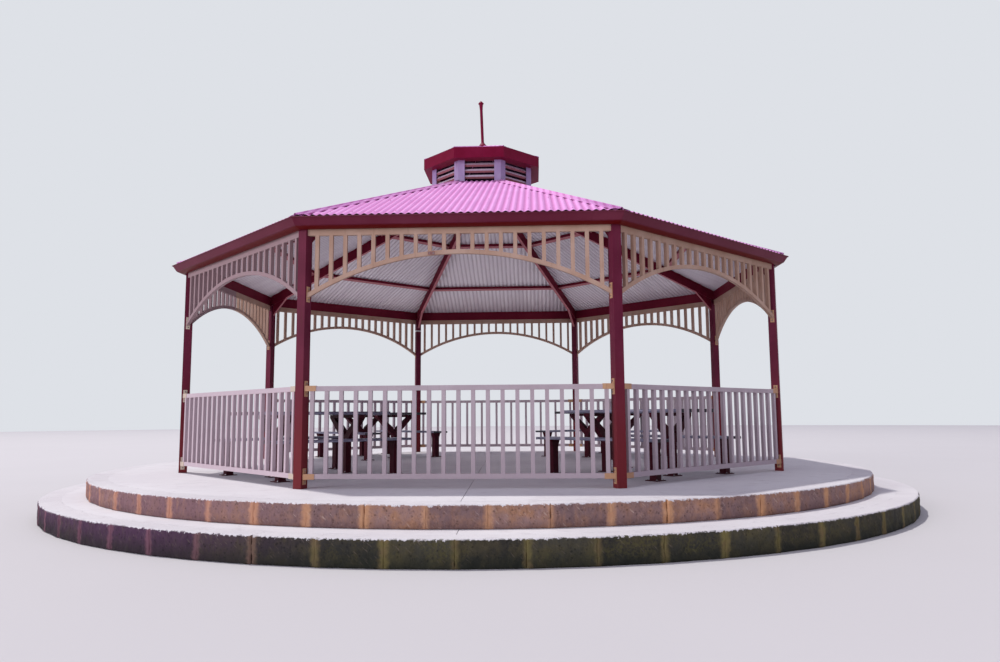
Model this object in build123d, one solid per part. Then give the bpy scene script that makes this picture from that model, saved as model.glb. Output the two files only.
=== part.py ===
from build123d import *
import math
import os

# Open octagonal gazebo on a round base of two steps, in millimetres, +Z up.
# The origin is the centre of the base on the ground, and the front faces -Y.

# Round base
lower_step_radius = 5730.0
upper_step_radius = 5260.0
lower_riser = 225.0
upper_riser = 200.0
block_wall_depth = 240.0

# Octagon of posts
post_spacing = 3200.0
post_size = 100.0
post_wall = 4.0
post_height = 2665.0

# Balustrade panels
rail_size = 50.0
top_rail_height = 1026.0
bottom_rail_gap = 98.0
baluster_size = 40.0
baluster_count = 21
baluster_pitch = 148.5

# Balustrades and valances stand this far out from the line of the posts
panel_outset = 22.0

# Brackets that hold rails and arches to the posts
plate_width = 50.0
plate_height = 160.0
plate_thickness = 6.0
shoe_length = 103.0
shoe_wall = 5.0
rail_end_clearance = 1.0

# Arched valances
valance_rail_height = 80.0
valance_depth = 40.0
picket_size = 40.0
picket_count = 21
picket_pitch = 146.5
arch_bar = 44.0
arch_crown_drop = 292.0
arch_end_drop = 720.0

# Roof
roof_pitch = 22.5
roof_rise_over_posts = 167.0
sheet_thickness = 16.0
sheet_overhang = 167.0
sheet_hip_gap = 20.0
purlin_depth = 40.0
purlin_width = 60.0
lower_purlin_apothem = 3006.0
upper_purlin_apothem = 1697.0
rafter_width = 50.0
rafter_depth = 150.0
beam_width = 50.0
beam_post_clearance = 0.3
hip_cap_width = 230.0
hip_cap_thickness = 2.5

# Knee braces between posts and hip rafters
knee_reach = 300.0
knee_drop = 165.0
knee_thickness = 40.0

# Gutter
gutter_projection = 145.0
gutter_drop = 104.0
gutter_lip_level = 82.0
gutter_face = 76.0
gutter_face_lean = 50.0
gutter_floor = 20.0
gutter_belly = 3.0
gutter_wall = 3.0
gutter_joint = 0.4

# Lantern on the roof
lantern_side = 624.0
crown_ring_width = 50.0
crown_ring_height = 190.0
corner_leg = 92.0
corner_thickness = 10.0
lantern_wall_height = 326.0
blade_width = 60.0
blade_thickness = 32.0
blade_count = 3
blade_pitch = 90.5
blade_first = 87.0
blade_joint = 2.0
blade_angle = 45.0
soffit_thickness = 10.0
fascia_overhang = 120.0
fascia_height = 160.0
fascia_thickness = 20.0
fascia_joint = 0.4
lantern_pitch = 20.0
lantern_sheet = 4.0

# Finial
finial_diameter = 46.0
finial_height = 746.0
finial_neck_diameter = 64.0
finial_neck_height = 96.0
finial_cap_diameter = 88.0
finial_cap_height = 50.0
finial_collar_diameter = 130.0
finial_collar_height = 60.0
finial_lean = 2.0
finial_point = 2.0

# Picnic settings, one on each diagonal of the floor
setting_distance = 2865.0
table_length = 1830.0
table_width = 760.0
table_height = 780.0
table_thickness = 40.0
table_frame_spacing = 1000.0
frame_thickness = 80.0
frame_stem = 90.0
frame_spread = 740.0
frame_beam = 40.0
frame_arm_width = 96.0
frame_crotch_height = 480.0
bench_offset = 700.0
bench_length = 1830.0
bench_width = 300.0
bench_height = 450.0
bench_thickness = 30.0
bench_leg_spacing = 1530.0
bench_leg_size = 90.0
bench_head_width = 150.0
bench_head_height = 90.0
foot_size = 160.0
foot_thickness = 10.0

# Worked out from the sizes above
sides = 8
turn = 360.0 / sides
half_turn = turn / 2
half = math.radians(half_turn)
slope = math.tan(math.radians(roof_pitch))
tilt = math.cos(math.radians(roof_pitch))
floor_level = lower_riser + upper_riser
post_apothem = post_spacing / 2 / math.tan(half)
post_radius = post_spacing / 2 / math.sin(half)
panel_line = post_apothem + panel_outset
post_top = floor_level + post_height
sheet_underside = post_top + roof_rise_over_posts
eaves_apothem = post_apothem + sheet_overhang
purlin_drop = purlin_depth / tilt
rafter_drop = rafter_depth / tilt
lantern_apothem = lantern_side / 2 / math.tan(half)
post_corner = post_size / 2 * (math.cos(half) + math.sin(half))
beam_outer = post_apothem + post_corner + beam_post_clearance
panel_half = post_spacing / 2 + panel_outset * math.tan(half)
rail_end = panel_half - rail_end_clearance - (
    (post_size / 2 + plate_thickness + rail_size / 2 * math.sin(half)) / math.cos(half)
)
diagonal = math.sqrt(0.5)
overcut = 1.0
roof_tip_share = 1 / 175
parts = {}


def octagon(apothem):
    """Flat octagon with a side square to the Y axis."""
    return RegularPolygon(apothem / math.cos(half), sides, rotation=half_turn)


def octagon_prism(apothem, low, high):
    return Pos(0, 0, low) * extrude(octagon(apothem), high - low)


def octagon_ring(outer, inner, low, high):
    return octagon_prism(outer, low, high) - octagon_prism(inner, low - overcut, high + overcut)


def under_slope(apothem, level, pitch_slope, base):
    """Everything between a base level and eight planes that pass a level at an apothem."""
    tip = apothem * roof_tip_share
    wide = apothem + (level - base) / pitch_slope
    top = level + (apothem - tip) * pitch_slope
    return loft([Pos(0, 0, base) * octagon(wide), Pos(0, 0, top) * octagon(tip)], ruled=True)


def under_roof(drop, base):
    """The space below the main roof's planes, lowered by a drop."""
    return under_slope(post_apothem, sheet_underside - drop, slope, base)


def hip_plates(width, reach, low, high):
    """Eight upright radial plates, one on each corner of the octagon."""
    plate = Pos(reach / 2, 0, (low + high) / 2) * Box(reach, width, high - low)
    return [Rot(0, 0, half_turn + turn * k) * plate for k in range(sides)]


def side_wedge(gap, low, high):
    """The front eighth of the plan, held back from the mitre planes by half a gap."""
    back = gap / 2 / math.sin(half)
    far = lower_step_radius * 2
    outline = Polyline(
        (0, -back),
        (far * math.tan(half), -back - far),
        (-far * math.tan(half), -back - far),
        close=True,
    )
    return Pos(0, 0, low) * extrude(make_face(outline), high - low)


def around(shape, places=range(sides)):
    """Copies of a front piece turned to the given sides of the octagon."""
    return [Rot(0, 0, turn * k) * shape for k in places]


def between_posts(offset, low, high):
    """The front bay between two post faces, each brought in by an offset."""
    reach = 4 * post_size
    inset = (post_size / 2 + offset) / math.cos(half)
    swing = reach * math.tan(half)
    near = post_spacing / 2 - inset
    outline = Polyline(
        (-near - swing, -post_apothem - reach),
        (near + swing, -post_apothem - reach),
        (near - swing, -post_apothem + reach),
        (-near + swing, -post_apothem + reach),
        close=True,
    )
    return Pos(0, 0, low) * extrude(make_face(outline), high - low)


def solids_of(shape):
    """One compound of separate solids, ready to be written."""
    pieces = shape if isinstance(shape, (list, tuple)) else [shape]
    found = [solid for piece in pieces for solid in piece.solids()]
    return found[0] if len(found) == 1 else Compound(children=found)


def radial_face(points, thickness):
    """A plate outlined by radius and height, standing in the plane of the X axis."""
    outline = Plane.XZ * make_face(Polyline(*points, close=True))
    return extrude(outline, thickness / 2, both=True)


# Base: two rings of block walling with poured concrete inside them
parts["lower_step_wall"] = Pos(0, 0, lower_riser / 2) * (
    Cylinder(lower_step_radius, lower_riser)
    - Cylinder(lower_step_radius - block_wall_depth, lower_riser + 2 * overcut)
)
parts["lower_step_slab"] = Pos(0, 0, lower_riser / 2) * Cylinder(
    lower_step_radius - block_wall_depth, lower_riser
)
parts["upper_step_wall"] = Pos(0, 0, lower_riser + upper_riser / 2) * (
    Cylinder(upper_step_radius, upper_riser)
    - Cylinder(upper_step_radius - block_wall_depth, upper_riser + 2 * overcut)
)
parts["floor_slab"] = Pos(0, 0, lower_riser + upper_riser / 2) * Cylinder(
    upper_step_radius - block_wall_depth, upper_riser
)

# Posts: square tubes turned to face outwards
post = Pos(post_radius, 0, floor_level + post_height / 2) * (
    Box(post_size, post_size, post_height)
    - Box(post_size - 2 * post_wall, post_size - 2 * post_wall, post_height + 2 * overcut)
)
post_names = [
    "post_front_right",
    "post_right_front",
    "post_right_back",
    "post_back_right",
    "post_back_left",
    "post_left_back",
    "post_left_front",
    "post_front_left",
]
for k, name in enumerate(post_names):
    parts[name] = Rot(0, 0, turn * k - 90 + half_turn) * post


def front_box(width, depth, low, high, x=0.0):
    """An upright or level bar on the line of the front panels, by its heights."""
    return Pos(x, -panel_line, (low + high) / 2) * Box(width, depth, high - low)


# Balustrade: two rails and square balusters
top_rail_top = floor_level + top_rail_height
top_rail_low = top_rail_top - rail_size
bottom_rail_low = floor_level + bottom_rail_gap
bottom_rail_top = bottom_rail_low + rail_size
rails = front_box(2 * rail_end, rail_size, top_rail_low, top_rail_top)
rails += front_box(2 * rail_end, rail_size, bottom_rail_low, bottom_rail_top)
first_baluster = -baluster_pitch * (baluster_count - 1) / 2
balusters = [
    front_box(baluster_size, baluster_size, bottom_rail_top, top_rail_low, first_baluster + baluster_pitch * i)
    for i in range(baluster_count)
]
balustrade = rails + balusters
balustrade_sides = {
    "balustrade_front": 0,
    "balustrade_front_right": 1,
    "balustrade_back_right": 3,
    "balustrade_back": 4,
    "balustrade_back_left": 5,
    "balustrade_front_left": 7,
}
for name, k in balustrade_sides.items():
    parts[name] = Rot(0, 0, turn * k) * balustrade


# Brackets: a plate on the post's side and an open shoe round the rail's end
def post_plate(middle):
    """The plate on the right-hand post of the front bay, at a height."""
    on_line = Pos(panel_outset / math.cos(half) - post_size / 2 * math.tan(half), 0, 0)
    plate = Box(plate_width, plate_thickness, plate_height)
    seat = Pos(0, -(post_size + plate_thickness) / 2, 0)
    placed = Rot(0, 0, -90 + half_turn) * (on_line * seat * plate)
    return Pos(post_spacing / 2, -post_apothem, middle) * placed


def rail_bracket(rail_low, opens_up):
    """Plate and shoe for one end of a rail."""
    rail_middle = rail_low + rail_size / 2
    shoe_low = rail_low - (shoe_wall if opens_up else 0)
    shoe_high = rail_low + rail_size + (0 if opens_up else shoe_wall)
    plate_face = panel_half - (post_size / 2 + plate_thickness) / math.cos(half)
    shoe_start = plate_face - shoe_length
    shoe_reach = panel_half - shoe_start
    middle = shoe_start + shoe_reach / 2
    shoe = front_box(shoe_reach, rail_size + 2 * shoe_wall, shoe_low, shoe_high, middle)
    shoe -= front_box(2 * post_spacing, rail_size, rail_low, rail_low + rail_size)
    shoe &= between_posts(plate_thickness, shoe_low - overcut, shoe_high + overcut)
    return post_plate(rail_middle) + shoe


def both_ends(piece):
    return [piece, mirror(piece, Plane.YZ)]


front_rail_brackets = both_ends(rail_bracket(bottom_rail_low, True))
front_rail_brackets += both_ends(rail_bracket(top_rail_low, False))
parts["rail_brackets"] = [
    placed for piece in front_rail_brackets for placed in around(piece, balustrade_sides.values())
]

# Valances: a top rail under the eaves beam, pickets and an arched bar
arch_crown = post_top - arch_crown_drop
arch_half_chord = rail_end
arch_rise = arch_end_drop - arch_crown_drop
arch_radius = (arch_half_chord**2 + arch_rise**2) / (2 * arch_rise)
arch_centre = arch_crown - arch_radius
arch_bar_middle = arch_radius + arch_bar / 2
valance_rail_low = post_top - valance_rail_height
ring = Circle(arch_radius + arch_bar) - Circle(arch_radius)
arch = Pos(0, -panel_line, arch_centre) * extrude(Plane.XZ * ring, valance_depth / 2, both=True)
arch &= between_posts(plate_thickness, post_top - arch_end_drop - arch_bar, post_top)
valance = front_box(2 * post_spacing, valance_depth, valance_rail_low, post_top)
valance &= between_posts(0, valance_rail_low, post_top)
valance += arch
first_picket = -picket_pitch * (picket_count - 1) / 2
for i in range(picket_count):
    x = first_picket + picket_pitch * i
    foot = arch_centre + math.sqrt(arch_bar_middle**2 - x**2)
    valance += front_box(picket_size, picket_size, foot, valance_rail_low, x)
valance_names = ["front", "front_right", "right", "back_right", "back", "back_left", "left", "front_left"]
for k, name in enumerate(valance_names):
    parts["valance_" + name] = Rot(0, 0, turn * k) * valance
arch_foot = arch_centre + math.sqrt(arch_bar_middle**2 - rail_end**2)
parts["valance_brackets"] = [
    placed for piece in both_ends(post_plate(arch_foot)) for placed in around(piece)
]

# Hip rafters, backed to the roof's planes and notched level over the posts
under_rafters = under_roof(rafter_drop, floor_level)
below_purlins = under_roof(purlin_drop, floor_level)
below_sheets = under_roof(0, floor_level)
roof_top = sheet_underside + post_apothem * slope
rafter_space = below_sheets - under_rafters
rafter_space -= octagon_prism(lantern_apothem, floor_level, roof_top)
rafter_space &= octagon_prism(beam_outer, post_top, roof_top)
parts["hip_rafters"] = [
    plate & rafter_space for plate in hip_plates(rafter_width, 2 * post_radius, floor_level, roof_top)
]

# Eaves beams between the rafters, along the outer side of the posts and up to the sheets
beam_ring = octagon_ring(beam_outer, beam_outer - beam_width, post_top, sheet_underside)
eaves_beam = beam_ring & below_sheets & side_wedge(rafter_width, post_top, roof_top)
parts["eaves_beams"] = around(eaves_beam)

# Purlins between the rafters, one run to each side
purlin_space = below_sheets - below_purlins
purlin_rings = {
    "lower_purlins": lower_purlin_apothem,
    "upper_purlins": upper_purlin_apothem,
}
for name, apothem in purlin_rings.items():
    band = octagon_ring(apothem + purlin_width / 2, apothem - purlin_width / 2, post_top, roof_top)
    run = purlin_space & band & side_wedge(rafter_width, post_top, roof_top)
    parts[name] = around(run)

# Crown ring that the rafters and the lantern meet on
crown_top = sheet_underside + (post_apothem - lantern_apothem) * slope
parts["crown_ring"] = octagon_ring(
    lantern_apothem, lantern_apothem - crown_ring_width, crown_top - crown_ring_height, crown_top
)

# Knee braces in the corners below the rafters
knee_outer = post_radius - post_size / 2
knee_inner = knee_outer - knee_reach


def rafter_bottom(radius):
    return sheet_underside - rafter_drop + (post_apothem - radius * math.cos(half)) * slope


knee = radial_face(
    [
        (knee_outer, post_top - knee_drop),
        (knee_outer, post_top),
        (knee_outer, rafter_bottom(knee_outer) + rafter_depth),
        (knee_inner, rafter_bottom(knee_inner) + rafter_depth),
        (knee_inner, rafter_bottom(knee_inner)),
    ],
    knee_thickness,
)
knee &= Rot(0, 0, -half_turn) * under_rafters
knee &= Pos(knee_outer - knee_reach / 2, 0, post_top - knee_drop + (knee_drop + knee_reach) / 2) * Box(
    knee_reach, knee_thickness, knee_drop + knee_reach
)
parts["knee_braces"] = [Rot(0, 0, half_turn + turn * k) * knee for k in range(sides)]

# Roof sheets with a gap at each hip, and the cappings over the gaps
sheet_rise = sheet_thickness / tilt
above_sheets = under_roof(-sheet_rise, floor_level)
sheet_space = above_sheets - below_sheets
sheet_space &= octagon_ring(eaves_apothem, lantern_apothem, post_top - sheet_overhang, roof_top)
sheet = sheet_space & side_wedge(sheet_hip_gap, post_top - sheet_overhang, roof_top)
parts["roof_sheets"] = around(sheet)
cap_space = under_roof(-sheet_rise - hip_cap_thickness / tilt, floor_level) - above_sheets
cap_space &= octagon_ring(eaves_apothem, lantern_apothem, post_top - sheet_overhang, roof_top)
parts["hip_caps"] = [
    plate & cap_space for plate in hip_plates(hip_cap_width, 2 * post_radius, floor_level, roof_top)
]

# Gutter on the outer faces of the eaves beams, open at the top
gutter_back = beam_outer
gutter_lip = gutter_back + gutter_projection
gutter_top = post_top + gutter_lip_level
gutter_bottom = gutter_top - gutter_drop
gutter_knee = (gutter_lip - gutter_face_lean, gutter_top - gutter_face)
gutter_toe = (gutter_back + gutter_floor, gutter_bottom)
gutter_bulge = (
    (gutter_knee[0] + gutter_toe[0]) / 2 + gutter_belly,
    (gutter_knee[1] + gutter_toe[1]) / 2 - gutter_belly,
)


def gutter_outline(wall):
    """The gutter's section by apothem and height, drawn in by a wall."""
    lip = (-gutter_lip + wall, gutter_top + wall)
    knee_point = (-gutter_knee[0] + wall, gutter_knee[1])
    bulge = (-gutter_bulge[0] + wall * diagonal, gutter_bulge[1] + wall * diagonal)
    toe = (-gutter_toe[0], gutter_toe[1] + wall)
    heel = (-gutter_back - wall, gutter_bottom + wall)
    back = (-gutter_back - wall, gutter_top + wall)
    edges = [
        Line(lip, knee_point),
        ThreePointArc(knee_point, bulge, toe),
        Line(toe, heel),
        Line(heel, back),
        Line(back, lip),
    ]
    return Plane.YZ * make_face(edges)


gutter_run = extrude(gutter_outline(0), post_spacing, both=True)
gutter_run -= extrude(gutter_outline(gutter_wall), post_spacing + overcut, both=True)
gutter_run &= side_wedge(gutter_joint, gutter_bottom - overcut, gutter_top + overcut)
parts["gutter_front"] = gutter_run
parts["gutters"] = around(gutter_run, range(1, sides))

# Lantern: corner angles, louvre blades, soffit, fascia and its own low roof
lantern_head = crown_top + lantern_wall_height
wall_ring = octagon_ring(lantern_apothem, lantern_apothem - corner_thickness, crown_top, lantern_head)
corner_half = corner_leg * math.cos(half)
corner_reach = 2 * lantern_apothem
parts["lantern_corners"] = [
    plate & wall_ring for plate in hip_plates(2 * corner_half, corner_reach, crown_top, lantern_head)
]
blade_out = blade_width / 2 * math.cos(math.radians(blade_angle))
blade_slack = blade_thickness / 2 * math.sin(math.radians(blade_angle))
blade_middle = lantern_apothem - corner_thickness - blade_out - blade_slack
blade = Pos(0, -blade_middle, 0) * (Rot(blade_angle, 0, 0) * Box(2 * lantern_side, blade_width, blade_thickness))
blades = []
for i in range(blade_count):
    level = crown_top + blade_first + blade_pitch * i
    placed = Pos(0, 0, level) * blade
    blades += around(placed & side_wedge(blade_joint, crown_top, lantern_head + blade_width))
parts["lantern_blades"] = blades
fascia_outer = lantern_apothem + fascia_overhang
fascia_top = lantern_head + fascia_height
parts["lantern_soffit"] = octagon_ring(
    fascia_outer - fascia_thickness,
    lantern_apothem - crown_ring_width,
    lantern_head,
    lantern_head + soffit_thickness,
)
fascia_ring = octagon_ring(fascia_outer, fascia_outer - fascia_thickness, lantern_head, fascia_top)
parts["lantern_fascia"] = around(fascia_ring & side_wedge(fascia_joint, lantern_head, fascia_top))
lantern_slope = math.tan(math.radians(lantern_pitch))
lantern_sheet_drop = lantern_sheet / math.cos(math.radians(lantern_pitch))
lantern_peak = fascia_top + fascia_outer * lantern_slope
outer_cone = under_slope(fascia_outer, fascia_top, lantern_slope, lantern_head)
inner_cone = under_slope(fascia_outer, fascia_top - lantern_sheet_drop, lantern_slope, lantern_head)
lantern_cover = (outer_cone - inner_cone) & octagon_prism(fascia_outer, fascia_top, lantern_peak)
parts["lantern_roof"] = lantern_cover

# Finial: a leaning rod with a collar and a pointed cap
rod_length = finial_height - finial_cap_height
rod = Pos(0, 0, rod_length / 2) * Cylinder(finial_diameter / 2, rod_length)
neck = Pos(0, 0, rod_length - finial_neck_height / 2) * Cone(
    finial_diameter / 2, finial_neck_diameter / 2, finial_neck_height
)
cap = Pos(0, 0, rod_length + finial_cap_height / 2) * Cone(finial_cap_diameter / 2, finial_point, finial_cap_height)
collar = Pos(0, 0, finial_collar_height / 2) * Cone(
    finial_collar_diameter / 2, finial_diameter / 2, finial_collar_height
)
collar += Pos(0, 0, -finial_collar_height / 2) * Cylinder(finial_collar_diameter / 2, finial_collar_height)
finial = Pos(0, 0, lantern_peak) * (Rot(0, -finial_lean, 0) * (rod + neck + cap + collar))
parts["finial"] = finial - outer_cone

# Picnic settings
table_underside = floor_level + table_height - table_thickness
frame_high = table_height - table_thickness
frame_shoulder = frame_crotch_height - frame_stem
frame_outline = [
    (-frame_stem / 2, foot_thickness),
    (frame_stem / 2, foot_thickness),
    (frame_stem / 2, frame_shoulder),
    (frame_spread / 2, frame_high - frame_beam),
    (frame_spread / 2, frame_high),
    (-frame_spread / 2, frame_high),
    (-frame_spread / 2, frame_high - frame_beam),
    (-frame_stem / 2, frame_shoulder),
]
hole_radius = frame_stem / 2
hole_half = frame_spread / 2 - frame_arm_width
hole_top = frame_high - frame_beam
frame_hole = make_face(
    Polyline(
        (-hole_radius, frame_crotch_height + hole_radius),
        (hole_radius, frame_crotch_height + hole_radius),
        (hole_half, hole_top),
        (-hole_half, hole_top),
        close=True,
    )
) + Pos(0, frame_crotch_height + hole_radius) * Circle(hole_radius)
frame_face = make_face(Polyline(*frame_outline, close=True)) - frame_hole
foot = Pos(0, 0, foot_thickness / 2) * Box(foot_size, foot_size, foot_thickness)
table_frame = extrude(Plane.XZ * frame_face, frame_thickness / 2, both=True) + foot
leg_high = bench_height - bench_thickness
leg_outline = [
    (-bench_leg_size / 2, foot_thickness),
    (bench_leg_size / 2, foot_thickness),
    (bench_leg_size / 2, leg_high - bench_head_height),
    (bench_head_width / 2, leg_high),
    (-bench_head_width / 2, leg_high),
    (-bench_leg_size / 2, leg_high - bench_head_height),
]
leg_face = make_face(Polyline(*leg_outline, close=True))
bench_leg = extrude(Plane.XZ * leg_face, bench_leg_size / 2, both=True) + foot
table_top = Pos(0, 0, table_height - table_thickness / 2) * Box(table_width, table_length, table_thickness)
bench_seat = Pos(0, 0, bench_height - bench_thickness / 2) * Box(bench_width, bench_length, bench_thickness)


def in_settings(shape, across, along):
    """A piece in each setting, by its offsets across and along the table."""
    own = Pos(across, -setting_distance + along, floor_level) * shape
    return around(own, [1, 3, 5, 7])


half_frames = table_frame_spacing / 2
half_legs = bench_leg_spacing / 2
parts["table_frames"] = [
    piece for along in (-half_frames, half_frames) for piece in in_settings(table_frame, 0, along)
]
parts["table_tops"] = in_settings(table_top, 0, 0)
parts["bench_legs"] = [
    piece
    for across in (-bench_offset, bench_offset)
    for along in (-half_legs, half_legs)
    for piece in in_settings(bench_leg, across, along)
]
parts["bench_seats"] = [
    piece for across in (-bench_offset, bench_offset) for piece in in_settings(bench_seat, across, 0)
]

os.makedirs("parts", exist_ok=True)
for name, shape in parts.items():
    export_step(solids_of(shape), f"parts/{name}.step")
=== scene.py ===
import math
import random

import bmesh
import bpy
from mathutils import Matrix, Vector


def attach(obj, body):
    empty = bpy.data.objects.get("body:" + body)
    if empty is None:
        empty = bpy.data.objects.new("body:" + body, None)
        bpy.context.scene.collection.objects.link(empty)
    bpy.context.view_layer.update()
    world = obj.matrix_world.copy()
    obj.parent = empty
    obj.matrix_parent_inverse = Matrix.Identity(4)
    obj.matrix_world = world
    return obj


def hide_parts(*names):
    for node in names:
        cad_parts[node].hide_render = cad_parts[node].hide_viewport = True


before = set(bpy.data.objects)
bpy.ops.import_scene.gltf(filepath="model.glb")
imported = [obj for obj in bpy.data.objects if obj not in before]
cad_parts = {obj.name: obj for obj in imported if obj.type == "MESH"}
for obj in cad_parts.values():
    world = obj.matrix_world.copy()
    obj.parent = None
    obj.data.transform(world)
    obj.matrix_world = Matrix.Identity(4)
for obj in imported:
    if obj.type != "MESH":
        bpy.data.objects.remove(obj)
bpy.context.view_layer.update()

# Open park gazebo on a round base, metres, front towards -Y
random.seed(41)
turn = math.radians(45)
half = turn / 2
halfBay = 1.6              # from the middle of a side to its posts
house = {
    "floor": 0.425,        # top of the slab
    "postLine": halfBay / math.tan(half),   # centre of each side's posts
    "sheetLevel": 3.257,   # underside of the sheets over the posts
    "overhang": 0.167,
    "roofPitch": math.radians(22.5),
}


# hand tools

def clearSelection():
    for thing in list(bpy.context.selected_objects):
        thing.select_set(False)


def only(piece):
    clearSelection()
    piece.select_set(True)
    bpy.context.view_layer.objects.active = piece


def started(name):
    piece = bpy.context.active_object
    piece.name = name
    piece.data.name = name
    return piece


def placed(piece):
    only(piece)
    bpy.ops.object.transform_apply(location=True, rotation=True, scale=True)


def startBox(name, size, middle):
    clearSelection()
    bpy.ops.mesh.primitive_cube_add(size=1, location=middle)
    piece = started(name)
    piece.scale = size
    placed(piece)
    return piece


def startRod(name, radius, length, middle, corners, lying=False):
    clearSelection()
    turned = (0, math.pi / 2, 0) if lying else (0, 0, 0)
    bpy.ops.mesh.primitive_cylinder_add(vertices=corners, radius=radius, depth=length,
                                        location=middle, rotation=turned)
    piece = started(name)
    placed(piece)
    return piece


def startStrip(name, width, length):
    clearSelection()
    bpy.ops.mesh.primitive_plane_add(size=1)
    piece = started(name)
    piece.scale = (width, length, 1)
    placed(piece)
    return piece


def edit(piece):
    only(piece)
    bpy.ops.object.mode_set(mode="EDIT")
    bpy.ops.mesh.select_all(action="SELECT")


def leave():
    bpy.ops.object.mode_set(mode="OBJECT")


def pick(piece, kind, test):
    bpy.ops.mesh.select_mode(type=kind)
    bpy.ops.mesh.select_all(action="DESELECT")
    mesh = bmesh.from_edit_mesh(piece.data)
    parts = {"VERT": mesh.verts, "EDGE": mesh.edges, "FACE": mesh.faces}[kind]
    parts.ensure_lookup_table()
    chosen = [part for part in parts if test(part)]
    for part in chosen:
        part.select_set(True)
    mesh.select_flush_mode()
    bmesh.update_edit_mesh(piece.data)
    return len(chosen)


def pull(step):
    bpy.ops.mesh.extrude_region_move(TRANSFORM_OT_translate={"value": step})


def move(step):
    bpy.ops.transform.translate(value=step)


def cutOff(at, towards, fill=False):
    # cuts off what lies past a plane
    bpy.ops.mesh.select_all(action="SELECT")
    bpy.ops.mesh.bisect(plane_co=at, plane_no=towards, clear_outer=True, clear_inner=False, use_fill=fill)


def modify(piece, kind, **settings):
    only(piece)
    change = piece.modifiers.new(kind.title(), kind)
    for key, value in settings.items():
        setattr(change, key, value)
    bpy.ops.object.modifier_apply(modifier=change.name)


def smoothed(piece, angle):
    only(piece)
    bpy.ops.object.shade_smooth_by_angle(angle=math.radians(angle))


def copyOf(piece, name, place):
    twin = piece.copy()
    twin.data = piece.data.copy()
    twin.name = name
    twin.data.name = name
    bpy.context.scene.collection.objects.link(twin)
    twin.data.transform(place)
    return twin


def joined(pieces, name):
    clearSelection()
    for piece in pieces:
        piece.select_set(True)
    bpy.context.view_layer.objects.active = pieces[0]
    bpy.ops.object.join()
    return started(name)


def spread(piece, name, places):
    # one copy for each place, then the first pattern goes
    copies = [copyOf(piece, name + str(i), place) for i, place in enumerate(places)]
    bpy.data.objects.remove(piece)
    return joined(copies, name)


def around(sides=range(8)):
    return [Matrix.Rotation(turn * k, 4, "Z") for k in sides]


def tidied(piece, angle):
    # merged, facing outwards, smooth but for its creases
    edit(piece)
    bpy.ops.mesh.remove_doubles(threshold=0.00005)
    bpy.ops.mesh.normals_make_consistent(inside=False)
    leave()
    smoothed(piece, angle)


def finished(piece, paint, nodes=()):
    for index, coat in enumerate(paint if isinstance(paint, list) else [paint]):
        if index < len(piece.data.materials):
            piece.data.materials[index] = coat
        else:
            piece.data.materials.append(coat)
    if nodes:
        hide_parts(*nodes)
    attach(piece, "root")


def laid(piece, places, paint, nodes=()):
    finished(spread(piece, piece.name, places), paint, nodes)


def coatNodes(paint, *nodes):
    for node in nodes:
        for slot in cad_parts[node].material_slots:
            slot.material = paint


# shader wires

def tint(red, green, blue):
    def flat(value):
        value = value / 255
        return value / 12.92 if value <= 0.04045 else ((value + 0.055) / 1.055) ** 2.4
    return (flat(red), flat(green), flat(blue), 1.0)


class Wire:
    def __init__(self, board, socket):
        self.board = board
        self.socket = socket

    def calc(self, operation, other=0.0):
        return self.board.add("ShaderNodeMath", {"operation": operation}, {0: self, 1: other})

    def __add__(self, other):
        return self.calc("ADD", other)

    __radd__ = __add__

    def __sub__(self, other):
        return self.calc("SUBTRACT", other)

    def __rsub__(self, other):
        return self.board.add("ShaderNodeMath", {"operation": "SUBTRACT"}, {0: other, 1: self})

    def __mul__(self, other):
        return self.calc("MULTIPLY", other)

    __rmul__ = __mul__

    def __truediv__(self, other):
        return self.calc("DIVIDE", other)

    def within(self, low, high):
        # 0 below low, 1 above high, smooth between
        return self.board.add("ShaderNodeMapRange", {"interpolation_type": "SMOOTHSTEP"},
                              {"Value": self, "From Min": low, "From Max": high})


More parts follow.
